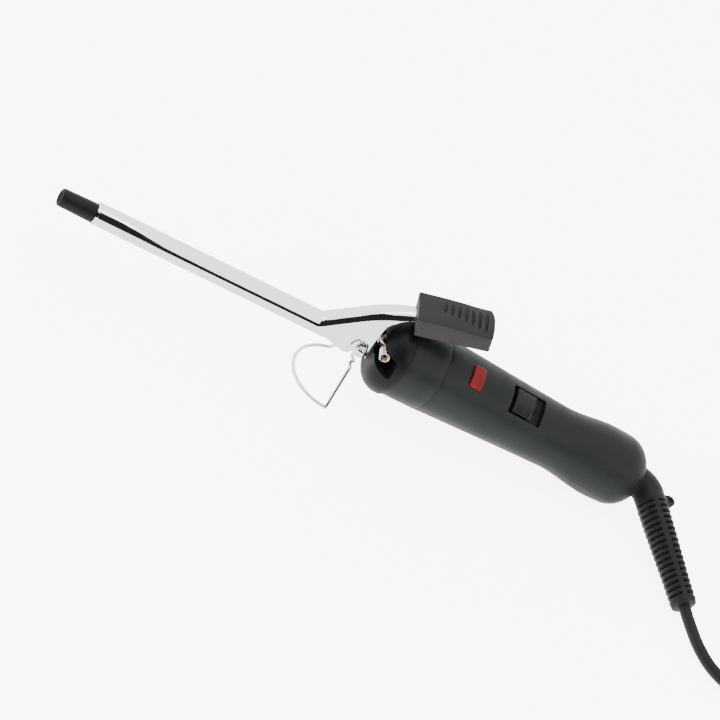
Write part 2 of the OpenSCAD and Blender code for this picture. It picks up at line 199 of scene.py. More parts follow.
def plastic(name, colour, rough=0.4, grain=2600.0, bump=0.12, mottle=0.12, worn=0.35, specular=0.5):
    """Moulded resin: fine spark-eroded grain, faint tone changes, handling gloss and lighter worn edges."""
    g = Graph(name)
    cloud = g.noise(38.0, 4.0, 0.6)
    tone = g.mix(g.spread(cloud, 0.3, 0.7, 0.0, 1.0), shade(colour, 1 - mottle), shade(colour, 1 + mottle))
    scuff = g.noise(420.0, 5.0, 0.62, g.stretched((1.0, 0.35, 0.8), (0.3, 0.5, 0.2)))
    edge = g.maths("MULTIPLY", g.edges(), g.spread(scuff, 0.42, 0.62, 0.0, worn))
    g.set(Base_Color=g.mix(edge, tone, shade(colour, 2.2)))
    touch = g.spread(g.noise(70.0, 2.0), 0.35, 0.7, rough - 0.06, rough + 0.07)
    g.set(Roughness=g.maths("ADD", touch, g.spread(scuff, 0.3, 0.75, -0.03, 0.06)))
    g.set(Specular_IOR_Level=specular)
    fine = g.bump(g.noise(grain, 2.0, 0.55), bump, 0.00006)
    g.set(Normal=g.bump(g.noise(140.0, 2.0), 0.05, 0.0004, fine))
    return g.material


def rubber(name, colour, rough=0.55, grain=1900.0, bump=0.2):
    """Soft moulded rubber: a matt skin with dust in it and slightly polished high spots."""
    g = Graph(name)
    dust = g.noise(160.0, 6.0, 0.68)
    tone = g.mix(g.spread(dust, 0.35, 0.75, 0.0, 1.0), shade(colour, 0.85), shade(colour, 1.5))
    g.set(Base_Color=g.mix(g.maths("MULTIPLY", g.edges(), 0.3), tone, shade(colour, 2.4)))
    g.set(Roughness=g.spread(g.noise(90.0, 3.0), 0.3, 0.7, rough - 0.08, rough + 0.1))
    g.set(Sheen_Weight=0.05, Sheen_Roughness=0.4, Specular_IOR_Level=0.12)
    fine = g.bump(g.noise(grain, 3.0, 0.6), bump, 0.00005)
    g.set(Normal=g.bump(g.noise(220.0, 2.0), 0.08, 0.0003, fine))
    return g.material


def plating(name, colour, rough=0.05, scratch=0.25, wave=0.05, stain=(0.62, 0.6, 0.57)):
    """Bright plating over drawn metal: long hairline scratches, a slight ripple and thin tarnish."""
    g = Graph(name)
    hair = g.noise(900.0, 3.0, 0.6, g.stretched((0.05, 1.0, 1.0)))
    smear = g.noise(55.0, 4.0, 0.6)
    g.set(Metallic=1.0)
    thin = g.spread(smear, 0.52, 0.8, 0.0, 0.25)
    g.set(Base_Color=g.mix(thin, shade(colour, 1.0), stain + (1.0,)))
    haze = g.spread(smear, 0.35, 0.75, rough * 0.7, rough * 1.7)
    g.set(Roughness=g.maths("ADD", haze, g.spread(hair, 0.6, 0.85, 0.0, 0.08)))
    fine = g.bump(hair, scratch * 0.1, 0.00002)
    g.set(Normal=g.bump(g.noise(60.0, 1.0), wave, 0.00015, fine))
    return g.material


def steel(name, colour, rough=0.28, grain=(0.08, 1.0, 1.0), bump=0.18):
    """Plain metal with a drawn or brushed grain and dull patches."""
    g = Graph(name)
    brushed = g.noise(1500.0, 4.0, 0.65, g.stretched(grain))
    patch = g.noise(120.0, 5.0, 0.6)
    g.set(Metallic=1.0)
    g.set(Base_Color=g.mix(g.spread(patch, 0.4, 0.75, 0.0, 1.0), shade(colour, 1.08), shade(colour, 0.72)))
    g.set(Roughness=g.maths("ADD", g.spread(patch, 0.3, 0.7, rough * 0.8, rough * 1.3),
                            g.spread(brushed, 0.3, 0.7, -0.05, 0.08)))
    g.set(Normal=g.bump(brushed, bump, 0.00003))
    return g.material


def red_window(name):
    """Clear red moulding with slight depth, a few flow lines and fine scratches on its face."""
    g = Graph(name)
    flow = g.noise(260.0, 3.0, 0.5, g.stretched((1.0, 0.25, 1.0)))
    streak = g.spread(flow, 0.3, 0.7, 0.0, 1.0)
    g.set(Base_Color=g.mix(streak, (0.075, 0.0016, 0.002, 1), (0.105, 0.003, 0.0035, 1)))
    g.set(Roughness=g.spread(g.noise(500.0, 4.0), 0.3, 0.7, 0.16, 0.3))
    g.set(Subsurface_Weight=0.35, Subsurface_Radius=(0.0016, 0.0004, 0.0004), Subsurface_Scale=1.0)
    g.set(Specular_IOR_Level=0.14)
    g.set(Normal=g.bump(g.noise(700.0, 2.0), 0.05, 0.00005))
    return g.material


def fired(name, light, dark, rough=0.7, scale=500.0, bump=0.4):
    """Dry material with specks and pores, for ceramic, mica, board and sleeving."""
    g = Graph(name)
    speck = g.noise(scale, 6.0, 0.7)
    g.set(Base_Color=g.mix(g.spread(speck, 0.35, 0.7, 0.0, 1.0), shade(light, 1.0), shade(dark, 1.0)))
    g.set(Roughness=g.spread(speck, 0.3, 0.7, rough - 0.1, rough + 0.1))
    g.set(Normal=g.bump(speck, bump, 0.00006))
    return g.material


def woven(name, colour, rough=0.8):
    """Braided sleeving on the leads."""
    g = Graph(name)
    wave = g.node("ShaderNodeTexWave", {"Vector": g.coords, "Scale": 900.0, "Distortion": 2.0, "Detail": 2.0})
    g.set(Base_Color=g.mix(wave.outputs["Fac"], shade(colour, 0.7), shade(colour, 1.3)))
    g.set(Roughness=g.spread(g.noise(300.0), 0.3, 0.7, rough - 0.1, rough + 0.08))
    g.set(Normal=g.bump(wave.outputs["Fac"], 0.4, 0.0001))
    return g.material


def lamp_glass(name):
    """Thin orange-tinted glass."""
    g = Graph(name)
    haze = g.spread(g.noise(400.0), 0.3, 0.7, 0, 1)
    g.set(Base_Color=g.mix(haze, (0.95, 0.72, 0.5, 1), (0.9, 0.6, 0.4, 1)))
    g.set(Transmission_Weight=0.85, IOR=1.47)
    g.set(Roughness=g.spread(g.noise(200.0), 0.3, 0.7, 0.03, 0.12))
    g.set(Normal=g.bump(g.noise(250.0), 0.05, 0.0001))
    return g.material


LOOKS = {
    "chrome_tube": plating("chrome_tube", (0.86, 0.86, 0.87)),
    "tip_resin": plastic("tip_resin", (0.003, 0.0028, 0.003), 0.42, worn=0.6, specular=0.12),
    "ceramic_core": fired("ceramic_core", (0.85, 0.82, 0.74), (0.7, 0.66, 0.58)),
    "winding_wire": steel("winding_wire", (0.5, 0.44, 0.38), 0.4),
    "mica": fired("mica", (0.72, 0.64, 0.46), (0.5, 0.42, 0.28), 0.45),
    "chrome_clip": plating("chrome_clip", (0.87, 0.87, 0.88), 0.045),
    "lever_resin": plastic("lever_resin", (0.0125, 0.0112, 0.0125), 0.45, worn=0.55, mottle=0.1,
                           specular=0.1),
    "pin_steel": plating("pin_steel", (0.75, 0.75, 0.75), 0.12, 0.5),
    "bush_brass": steel("bush_brass", (0.42, 0.2, 0.08), 0.3),
    "spring_steel": plating("spring_steel", (0.7, 0.7, 0.7), 0.14, 0.5),
    "stand_wire": plating("stand_wire", (0.84, 0.84, 0.85), 0.07, 0.5),
    "nose_resin": plastic("nose_resin", (0.0028, 0.003, 0.003), 0.42, worn=0.35, specular=0.1),
    "handle_resin": plastic("handle_resin", (0.0068, 0.0083, 0.0077), 0.42, worn=0.5, bump=0.15,
                            specular=0.11),
    "screw_steel": steel("screw_steel", (0.5, 0.5, 0.5), 0.3),
    "lens_red": red_window("lens_red"),
    "neon_glass": lamp_glass("neon_glass"),
    "switch_black": plastic("switch_black", (0.0065, 0.0078, 0.0073), 0.4, worn=0.6, specular=0.12),
    "switch_case": plastic("switch_case", (0.006, 0.006, 0.006), 0.6, specular=0.1),
    "board": fired("board", (0.12, 0.2, 0.09), (0.08, 0.14, 0.06), 0.5, 300.0, 0.2),
    "fuse_case": steel("fuse_case", (0.6, 0.6, 0.6), 0.35),
    "lead_insulation": woven("lead_insulation", (0.45, 0.05, 0.05)),
    "hub_resin": plastic("hub_resin", (0.02, 0.021, 0.021), 0.45),
    "brush_copper": steel("brush_copper", (0.62, 0.36, 0.14), 0.3),
    "relief_rubber": rubber("relief_rubber", (0.0045, 0.0047, 0.0045), 0.5),
    "cord_jacket": rubber("cord_jacket", (0.0045, 0.0045, 0.0047), 0.45),
    "tie_strip": rubber("tie_strip", (0.03, 0.03, 0.031), 0.6),
    "plug_rubber": rubber("plug_rubber", (0.02, 0.02, 0.021), 0.5),
    "blade_brass": steel("blade_brass", (0.68, 0.62, 0.46), 0.22),
}


# ------------------------------------------------------------------ mesh helpers

def smooth(t):
    """Eased step from 0 to 1."""
    t = max(0.0, min(1.0, t))
    return t * t * (3 - 2 * t)


def spline(points, per=4):
    """Catmull-Rom points through the given ones."""
    pts = [Vector(p) for p in points]
    out = []
    for i in range(len(pts) - 1):
        a, b, c, d = pts[max(i - 1, 0)], pts[i], pts[i + 1], pts[min(i + 2, len(pts) - 1)]
        for k in range(per):
            t = k / per
            out.append(0.5 * ((2 * b) + (c - a) * t + (2 * a - 5 * b + 4 * c - d) * t * t
                              + (3 * b - a - 3 * c + d) * t ** 3))
    return out + [pts[-1]]


def raw(name, verts, faces):
    mesh = bpy.data.meshes.new(name)
    mesh.from_pydata([tuple(v) for v in verts], [], faces)
    mesh.validate()
    obj = bpy.data.objects.new(name, mesh)
    bpy.context.scene.collection.objects.link(obj)
    return obj


def apply(obj):
    bpy.context.view_layer.update()
    made = bpy.data.meshes.new_from_object(obj.evaluated_get(bpy.context.evaluated_depsgraph_get()))
    obj.modifiers.clear()
    obj.data = made
    return obj


def combine(obj, tool, operation="DIFFERENCE"):
    m = obj.modifiers.new("combine", "BOOLEAN")
    m.object = tool
    m.operation = operation
    m.solver = "EXACT"
    apply(obj)
    bpy.data.objects.remove(tool, do_unlink=True)
    return obj


def bevel(obj, width, segments=2, angle=35):
    m = obj.modifiers.new("bevel", "BEVEL")
    m.width = width
    m.segments = segments
    m.limit_method = "ANGLE"
    m.angle_limit = math.radians(angle)
    m.harden_normals = False
    return apply(obj)


def settle(obj, at, look, body, *replaces, angle=40):
    """Puts a finished piece in place, with its material, body and the CAD nodes that it stands for."""
    obj.data.transform(at)
    if at.to_3x3().determinant() < 0:
        obj.data.flip_normals()
    obj.data.materials.clear()
    obj.data.materials.append(LOOKS[look])
    obj.data.shade_smooth()
    obj.data.set_sharp_from_angle(angle=math.radians(angle))
    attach(obj, body)
    if replaces:
        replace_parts(obj, *replaces)
    return obj


def lathe(name, profile, turns=96, start=0.0, sweep=360.0):
    """Turns a closed outline of (x, r) about the x axis. r of 0 is a pole."""
    whole = abs(sweep - 360) < 1e-6
    n = turns if whole else turns + 1
    verts, index = [], []
    for x, r in profile:
        row = []
        for k in range(n):
            a = math.radians(start + sweep * k / turns)
            if r < 1e-6 and k:
                row.append(row[0])
                continue
            row.append(len(verts))
            verts.append((x, r * math.cos(a), r * math.sin(a)))
        index.append(row)
    faces = []
    count = len(profile)
    closed = not (profile[0][1] < 1e-6 and profile[-1][1] < 1e-6)
    for i in range(count if closed else count - 1):
        a, b = index[i], index[(i + 1) % count]
        for k in range(turns):
            j = (k + 1) % n
            face = []
            for v in (a[k], b[k], b[j], a[j]):
                if v not in face:
                    face.append(v)
            if len(face) > 2:
                faces.append(tuple(face))
    if not whole:
        faces.append(tuple(row[0] for row in index))
        faces.append(tuple(row[-1] for row in reversed(index)))
    obj = raw(name, verts, faces)
    return recalc(obj)


def recalc(obj):
    bm = bmesh.new()
    bm.from_mesh(obj.data)
    bmesh.ops.recalc_face_normals(bm, faces=bm.faces)
    bm.to_mesh(obj.data)
    bm.free()
    return obj


def prism(name, outline, low, high, axis="Z"):
    """Extrudes an outline: of (x, y) along z, or of (x, z) along y."""
    def at(p, h):
        return (p[0], p[1], h) if axis == "Z" else (p[0], h, p[1])
    n = len(outline)
    verts = [at(p, low) for p in outline] + [at(p, high) for p in outline]
    faces = [tuple(range(n)), tuple(range(2 * n - 1, n - 1, -1))]
    faces += [(k, k + n, (k + 1) % n + n, (k + 1) % n) for k in range(n)]
    return recalc(raw(name, verts, faces))


def rounded(half_x, half_y, r, steps=5, cx=0.0, cy=0.0):
    """A rectangle with round corners."""
    out = []
    for sx, sy, a0 in ((1, 1, 0), (-1, 1, 90), (-1, -1, 180), (1, -1, 270)):
        for k in range(steps + 1):
            a = math.radians(a0 + 90 * k / steps)
            out.append((cx + sx * (half_x - r) + r * math.cos(a), cy + sy * (half_y - r) + r * math.sin(a)))
    return out


def frames(path, up=Vector((0, 0, 1))):
    """Side and up vectors along a path, carried along without twist."""
    path = [Vector(p) for p in path]
    n = len(path)
    tangents = [(path[min(i + 1, n - 1)] - path[max(i - 1, 0)]).normalized() for i in range(n)]
    side = tangents[0].cross(up)
    if side.length < 1e-4:
        side = tangents[0].cross(Vector((0, 1, 0.01)))
    side.normalize()
    out = []
    for t in tangents:
        side = (side - t * side.dot(t)).normalized()
        out.append((side, t.cross(side)))
    return out


def tube(name, path, radius, sides=16, round_ends=True):
    """A wire along a path with round ends."""
    path = [Vector(p) for p in path]
    size = radius if callable(radius) else (lambda s: radius)
    fr = frames(path)
    rings = []
    n = len(path)
    for i, p in enumerate(path):
        rings.append((p, fr[i], size(i / (n - 1))))
    if round_ends:
        def cap(i, sign):
            p, f, r = rings[i]
            t = (path[1] - path[0]).normalized() if i == 0 else (path[-1] - path[-2]).normalized()
            return [(p + t * sign * r * 0.9 * math.sin(math.radians(a)), f, r * math.cos(math.radians(a)))
                    for a in (30, 55, 75)]
        rings = list(reversed(cap(0, -1))) + rings + cap(-1, 1)
    verts, faces = [], []
    for p, (s, u), r in rings:
        for k in range(sides):
            a = 2 * math.pi * k / sides
            verts.append(p + s * (r * math.cos(a)) + u * (r * math.sin(a)))
    for i in range(len(rings) - 1):
        for k in range(sides):
            j = (k + 1) % sides
            faces.append((i * sides + k, i * sides + j, (i + 1) * sides + j, (i + 1) * sides + k))
    faces.append(tuple(range(sides - 1, -1, -1)))
    last = (len(rings) - 1) * sides
    faces.append(tuple(last + k for k in range(sides)))
    return raw(name, verts, faces)


def join(name, *objects):
    """One object from several."""
    verts, faces = [], []
    for o in objects:
        base = len(verts)
        verts += [v.co.copy() for v in o.data.vertices]
        faces += [tuple(base + v for v in p.vertices) for p in o.data.polygons]
        bpy.data.objects.remove(o, do_unlink=True)
    return raw(name, verts, faces)


# ------------------------------------------------------------------ cord, as in the CAD

ROUTE = [
    (176.4, -54.7, 6), (180.5, -64, 4.6), (186, -75, 3.4), (193.7, -84.6, 2.8), (205, -91.7, 2.8),
    (218.2, -94.4, 2.8), (232.9, -92.8, 2.8), (246.9, -87.2, 2.8), (259.3, -77.6, 2.8), (269, -64.5, 2.8),
    (276.2, -48.5, 2.8), (280.2, -32, 2.8), (280.95, -15, 2.8),
]
COIL_X, COIL_Y = 242.7, -15.0
RINGS = (38.25, 32.75, 27.25)
LAYERS = (2.78, 8.28, 13.78)
PLUG_TURN = -115.0
PLUG_Z = 22.6
TURNS = 8 + PLUG_TURN / 360


def coil_at(turn):
    """Radius and height of the wound cord after a number of turns."""
    r, z = RINGS[0], LAYERS[0]
    inward, outward = -1, 1
    for start, end, change in ((0.75, 1.0, inward), (1.75, 2.0, inward), (3.25, 3.5, outward),
                               (4.25, 4.5, outward), (5.75, 6.0, inward), (6.75, 7.0, inward)):
        r += change * (RINGS[0] - RINGS[1]) * smooth((turn - start) / (end - start))
    for start, end in ((2.5, 2.75), (5.0, 5.25)):
        z += (LAYERS[1] - LAYERS[0]) * smooth((turn - start) / (end - start))
    r += (RINGS[1] - RINGS[2]) * smooth((turn - 7.3) / (TURNS - 7.3))
    z += (PLUG_Z - LAYERS[2]) * smooth((turn - 7.08) / (TURNS - 7.08))
    return r, z


def cord_path():
    """The free stretch, then the wound one."""
    path = spline(ROUTE, 5)
    count = 240
    for i in range(1, count + 1):
        turn = TURNS * i / count
        r, z = coil_at(turn)
        a = 2 * math.pi * turn
        path.append(Vector((COIL_X + r * math.cos(a), COIL_Y + r * math.sin(a), z)))
    return path


CORD_D = 5.4
line = cord_path()
cord = tube("cord_line", line, CORD_D / 2, 16, round_ends=False)
settle(cord, WORLD, "cord_jacket", "cord_swivel", "cord", "cord_coil")


# ------------------------------------------------------------------ barrel and tip

BARREL_R = 4.75
BORE_R = 4.25
BARREL_END = -133.5
barrel = lathe("barrel", [(BARREL_END, BARREL_R), (30, BARREL_R), (30, BORE_R), (BARREL_END, BORE_R)], 128)
settle(bevel(barrel, 0.1, 2), IRON, "chrome_tube", "handle", "barrel_tube")

tip_profile = [(-149.2, 0), (-149.1, 1.5), (-149.25, 2.3), (-149.9, 2.95), (-150.2, 3.3), (-150.12, 3.7),
               (-149.7, 4.03), (-148.9, 4.17), (-143.5, 4.26), (-136.5, 4.4), (-134.8, 4.45), (-134, 4.38),
               (-133.55, 4.2), (-133.52, 4.15), (-125.5, 4.15), (-125.5, 0)]
settle(lathe("tip", tip_profile, 96), IRON, "tip_resin", "handle", "barrel_tip", angle=50)


# ------------------------------------------------------------------ clip

SHEET_R = 5.2


def arch_stations():
    """Top line of the sheet's middle surface as (x, z): blade, elbow and arch."""
    blade = [(x, SHEET_R) for x in (-134, -100, -60, -30, -24)]
    rise = [(-22.6, SHEET_R), (-21.5, 5.4), (-20, 6.4), (-16, 10.2), (-11.7, 14.2), (-5.6, 19.9), (0.2, 24.3),
            (6, 27.7), (10, 29.5), (14, 30.55), (20, 31.8), (30, 34.3), (40, 36.6)]
    return blade + [tuple(p) for p in spline(rise, 4)]


def clip_sheet():
    """A bent sheet: half a tube along the stations, with a straight skirt on each side."""
    verts, faces = [], []
    stations = arch_stations()
    steps = 28
    skirt = (-7.5, -4, -1)
    r = SHEET_R
    for x, z in stations:
        verts += [(x, r, low) for low in skirt]
        verts += [(x, r * math.cos(math.radians(a)), z - r + r * math.sin(math.radians(a)))
                  for a in [180 * k / steps for k in range(steps + 1)]]
        verts += [(x, -r, low) for low in reversed(skirt)]
    n = steps + 1 + 2 * len(skirt)
    for i in range(len(stations) - 1):
        for k in range(n - 1):
            faces.append((i * n + k, i * n + k + 1, (i + 1) * n + k + 1, (i + 1) * n + k))
    obj = recalc(raw("clip_sheet", verts, faces))
    m = obj.modifiers.new("sheet", "SOLIDIFY")
    m.thickness = 0.6
    m.offset = 0
    m.use_even_offset = True
    return apply(obj)


# side view of the clip: the blade's lower edge, the round under the rivet, the cheek's back and the tail
EYE_R = 5.6
edge = [(-132.6, 0.95), (-30, 0.95), (-24.5, 0.9), (-21, 0.3), (-18, -0.8), (-11, -2.8), (-5.2, -4.2)]
edge += [(EYE_R * math.cos(math.radians(a)), PIVOT_Z + EYE_R * math.sin(math.radians(a)))
         for a in range(205, 140, -8)]
back = [(4.3, -2.2), (4.6, 1.5), (4.4, 5), (4, 9), (3.2, 12), (2.9, 15), (3.2, 18.5), (4.6, 21.8),
        (6.6, 24.5), (9.8, 26.8), (14, 28.4), (20, 29.9), (30, 32.5), (38.8, 34.8)]
edge += [tuple(p) for p in spline(back, 3)]
edge += [(39.2, 45), (-132.6, 45)]
clip = combine(clip_sheet(), prism("silhouette", edge, -9, 9, "Y"), "INTERSECT")
settle(bevel(clip, 0.12, 2, 50), IRON, "chrome_clip", "clip", "clip", angle=38)

# pressed rib on each cheek, in front of the rivet
rib_outline = [(-5.9, -3), (-4.1, -3.4), (-2.6, 3.2), (-2.6, 5.4), (-3.6, 5.9), (-4.6, 4.4)]
for side, s in (("near", -1), ("far", 1)):
    rib = prism("cheek_rib_" + side, rib_outline, 5.8 * s, 6.3 * s, "Y")
    settle(bevel(rib, 0.22, 3), IRON, "chrome_clip", "clip", angle=60)


# ------------------------------------------------------------------ lever pad

PAD_X, PAD_LEN, PAD_HALF = 9.6, 33.5, 9.2


def pad_top(x, v):
    """Height of the pad's crowned top, which falls away towards its rear end; v is -1 to 1 across it."""
    u = (x - PAD_X) / PAD_LEN
    return 33.1 + 9.5 * u - 0.5 * u * u - 0.9 * smooth((u - 0.35) / 0.65) * abs(v) ** 2.2 - 0.3 * abs(v) ** 3


def lever_pad():
    """Solid pad: the crowned top over a flat underside, which starts and ends further back."""
    nx, ny = 30, 20
    verts, faces = [], []
    for i in range(nx + 1):
        u = i / nx
        for j in range(ny + 1):
            v = 2 * j / ny - 1
            x = PAD_X + PAD_LEN * u
            tail = (0.5 if v < 0 else 1.5) * abs(v) ** 3 * smooth((u - 0.8) / 0.2)
            verts.append((x - tail, PAD_HALF * v, pad_top(x, v)))
    top = len(verts)
    for i in range(nx + 1):
        u = i / nx
        for j in range(ny + 1):
            v = 2 * j / ny - 1
            verts.append((13.1 + 32.1 * u, PAD_HALF * v, 23.7 + 9.7 * u))

    def at(i, j):
        return i * (ny + 1) + j
    for i in range(nx):
        for j in range(ny):
            faces.append((at(i, j), at(i + 1, j), at(i + 1, j + 1), at(i, j + 1)))
            faces.append((top + at(i, j), top + at(i, j + 1), top + at(i + 1, j + 1), top + at(i + 1, j)))
    for i in range(nx):
        faces.append((at(i, 0), top + at(i, 0), top + at(i + 1, 0), at(i + 1, 0)))
        faces.append((at(i, ny), at(i + 1, ny), top + at(i + 1, ny), top + at(i, ny)))
    for j in range(ny):
        faces.append((at(0, j), at(0, j + 1), top + at(0, j + 1), top + at(0, j)))
        faces.append((at(nx, j), top + at(nx, j), top + at(nx, j + 1), at(nx, j + 1)))
    return recalc(raw("lever_pad", verts, faces))


pad = bevel(lever_pad(), 0.7, 3, 50)
# pocket under the pad for the clip's tail
tail_room = [(8, 22), (14.6, 26.6), (30, 31.4), (40.5, 35.2), (41.6, 33), (30, 27), (14, 21)]
pocket = prism("pocket", tail_room, -7.4, 7.4, "Y")
combine(pad, bevel(pocket, 0.8, 3))
# finger grooves, wider apart and longer towards the rear, deepest at their near ends
for i in range(7):
    x, near = 21.3 + 3.0 * i, -2 - 0.85 * i
    path = [Vector((x, y, pad_top(x, y / PAD_HALF) - deep))
            for y, deep in ((near, 0.9), (near + 1, 0.8), (near + 3, 0.5), (2, 0.05), (5, -0.5))]
    combine(pad, tube("groove", spline(path, 4), 0.8, 14))
settle(pad, IRON, "lever_resin", "clip", "thumb_lever", angle=32)


# ------------------------------------------------------------------ pivot, bush and spring

def both_ends(half):
    """A lathe profile that is the same at both ends, from the outline of its -x half."""
    return half + [(-x, r) for x, r in reversed(half)]


head = [(-9.2, 0), (-9.15, 0.7), (-8.9, 1.5), (-8.5, 2.1), (-8.1, 2.45), (-7.85, 2.5), (-7.85, 1.5)]
settle(lathe("rivet", both_ends(head), 48), IRON @ Matrix.Translation((0, 0, PIVOT_Z)) @ ACROSS,
       "pin_steel", "handle", "pivot_pin", angle=50)

SPRING = Vector((8.2, 0, 8.2))
flange = [(-11.2, 0.9), (-11.2, 1.5), (-6.4, 1.5), (-6.4, 2.1), (-6, 2.1), (-6, 1.5)]
settle(bevel(lathe("bush", both_ends(flange), 40), 0.15, 2), IRON @ Matrix.Translation(SPRING) @ ACROSS,
       "bush_brass", "handle", "spring_bush", angle=50)


def spring_side(s):
    """One stack of turns and the hooked leg that pushes on the clip's cheek."""
    coils, pitch, r = 5.75, 0.98, 2.05
    path = [Vector((-4.3, s * 5.0, 3.1)), Vector((-4.2, s * 6.0, 3.2)), Vector((-3.7, s * 6.8, 3.1)),
            Vector((-2, s * 6.95, 2.7))]
    steps = 26
    for i in range(int(coils * steps) + 1):
        a = math.pi / 2 - 2 * math.pi * i / steps
        path.append(Vector((r * math.cos(a), s * (6.9 + pitch * i / steps), r * math.sin(a))))
    end = path[-1]
    path += [end + Vector((0.5, 0, -0.9)), end + Vector((1.1, 0, -1.5))]
    return tube("coil", path, 0.44, 10)


springs = join("springs", spring_side(-1), spring_side(1))
settle(springs, IRON @ Matrix.Translation(SPRING), "spring_steel", "handle", "clip_spring")


# ------------------------------------------------------------------ wire stand

# below the eye, the wire's bends as (x, y, distance below the pivot)
KINKS = [(-2.2, 7.15, 1.9), (-2.4, 7.5, 3.3), (-0.7, 8.5, 4.7), (-1.5, 9.2, 6.0), (-0.5, 10.2, 7.7)]


def stand_side(s):
    """Eye, kinks and leg of one side, ending at the corner on the ground."""
    eye_r = 2.35
    path = []
    for k in range(22):
        a = math.radians(-120 - 360 * k / 22)
        path.append(Vector((eye_r * math.sin(a), 6.75 + 0.35 * k / 22, PIVOT_Z + eye_r * math.cos(a))))
    path += [Vector((x, y, PIVOT_Z - low)) for x, y, low in KINKS]
    path = path[:22] + spline(path[21:], 5)[1:]
    return [Vector((p.x, s * p.y, p.z)) for p in path]


WIRE_R = 0.78
CORNER_X, CORNER_Y = -1.2, 19.5
# the foot is an arc on the ground, whose centre lies a little behind its corners
FOOT_BACK = 2.92
foot_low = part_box("wire_stand")[0].z + 0.0008
corner_z = (IRON.inverted() @ Vector(((IRON @ Vector((CORNER_X, 0, 0))).x, 0, foot_low))).z
FLAT = AXES.inverted() @ Vector((1, 0, 0))


def stand_path():
    """The whole wire: near side, foot and far side."""
    near = stand_side(-1)
    hub = Vector((CORNER_X, 0, corner_z))
    out = list(near)
    corner_near = hub + Vector((0, -CORNER_Y, 0))
    leg_from = out[-1]
    for k in range(1, 12):
        out.append(leg_from.lerp(corner_near + Vector((0.15, 0.25, 0.3)), k / 12))
    out.append(corner_near + Vector((0.05, 0.12, 0.25)))
    foot_r = math.hypot(FOOT_BACK, CORNER_Y)
    half = math.atan2(CORNER_Y, FOOT_BACK)
    for k in range(61):
        a = -half + 2 * half * k / 60
        out.append(hub + FLAT * (FOOT_BACK - foot_r * math.cos(a)) + Vector((0, foot_r * math.sin(a), 0)))
    far = [Vector((p.x, -p.y, p.z)) for p in reversed(out[:len(near) + 12])]
    return out + far


settle(tube("stand", stand_path(), WIRE_R, 14), IRON, "stand_wire", "stand", "wire_stand")


# ------------------------------------------------------------------ handle

CONE_X, WAIST_X, BULGE_X, DOME_X = 35.0, 100.0, 124.0, 131.0
FRONT_R, WAIST_R, BULGE_R = 17.5, 14.4, 16.6
DOME_LEN = 14.3
WALL = 2.2


def ease(t):
    """Half a cosine wave from 0 to 1."""
    return (1 - math.cos(math.pi * t)) / 2


def handle_r(x):
    """Outer radius: a cone to the waist, then the bulge, then the start of the dome."""
    if x < CONE_X:
        return FRONT_R
    if x < WAIST_X:
        return WAIST_R + (FRONT_R - WAIST_R) * ((WAIST_X - x) / (WAIST_X - CONE_X)) ** 1.1
    if x < BULGE_X:
        return WAIST_R + (BULGE_R - WAIST_R) * ease((x - WAIST_X) / (BULGE_X - WAIST_X))
    return BULGE_R - 0.4 * ease((x - BULGE_X) / 14)


def dome(inset, last, steps):
    """Arc of the rear end, up to an angle, moved inwards by inset."""
    r = handle_r(DOME_X)
    return [(DOME_X + (DOME_LEN - inset) * math.sin(math.radians(a)), (r - inset) * math.cos(math.radians(a)))
            for a in [last * k / steps for k in range(steps + 1)]]


outer = [(CONE_X + 1.5 * k, handle_r(CONE_X + 1.5 * k)) for k in range(64)] + dome(0, 54, 14)
rim_x, rim_r = outer[-1]
shell_profile = outer + [(rim_x + 0.25, rim_r - 0.35), (rim_x + 0.1, rim_r - 0.75)]
shell_profile += [(rim_x - 0.4, rim_r - 0.95), (140, 7.45), (139.5, 7.3), (134, 7.3)]
shell_profile += dome(WALL, 54, 6)[3::-1]
shell_profile += [(x, handle_r(x) - WALL) for x in range(127, 34, -4)]
LAMP_X, SWITCH_X = 49.9, 77.0
RECESS_X, RECESS_Y = 8.25, 6.5
RECESS_FLOOR = handle_r(SWITCH_X) - 3.4


def box_tool(x0, x1, y0, y1, z0, z1, r=0.8):
    """A block between the given limits, with round upright edges."""
    outline = rounded((x1 - x0) / 2, (y1 - y0) / 2, r, 4, (x0 + x1) / 2, (y0 + y1) / 2)
    return prism("tool", outline, z0, z1)


upper = lathe("handle_upper", shell_profile, 72, 0.12, 179.76)
combine(upper, box_tool(LAMP_X - 3, LAMP_X + 3, -5.25, 5.25, 10, 20, 0.5))
combine(upper, box_tool(SWITCH_X - 8.45, SWITCH_X + 8.45, -6.7, 6.7, RECESS_FLOOR - 0.6, 20, 0.4))
settle(bevel(upper, 0.16, 2, 40), CONTROL, "handle_resin", "handle", "upper_shell", angle=30)

# a post for each screw, with a bore for its head and a pilot hole
lower = lathe("handle_lower", shell_profile, 72, 180.12, 179.76)
for x in (41.5, 118):
    wall = handle_r(x)
    upright = Matrix.Translation((x, 0, 0)) @ Matrix.Rotation(math.radians(-90), 4, "Y")
    step = -wall + 4.5
    bore = lathe("tool", [(-20, 0), (-20, 2.6), (step, 2.6), (step, 1.45), (0, 1.45), (0, 0)], 40)
    bore.data.transform(upright)
    post = lathe("post", [(-wall + 1, 0), (-wall + 1, 3), (-0.2, 3), (-0.2, 0)], 40)
    post.data.transform(upright)
    combine(lower, post, "UNION")
    combine(lower, bore)
settle(bevel(lower, 0.16, 2, 40), CONTROL, "handle_resin", "handle", "lower_shell", angle=30)

sleeve_profile = [(17.5, 14.4), (17.5, 17.6), (17.9, 17.9), (24, 17.82), (30, 17.66), (34.9, 17.52),
                  (34.98, 14.4)]
sleeve = bevel(lathe("sleeve", sleeve_profile, 128), 0.12, 2, 30)
settle(sleeve, GRIP, "handle_resin", "handle", "front_sleeve", angle=24)

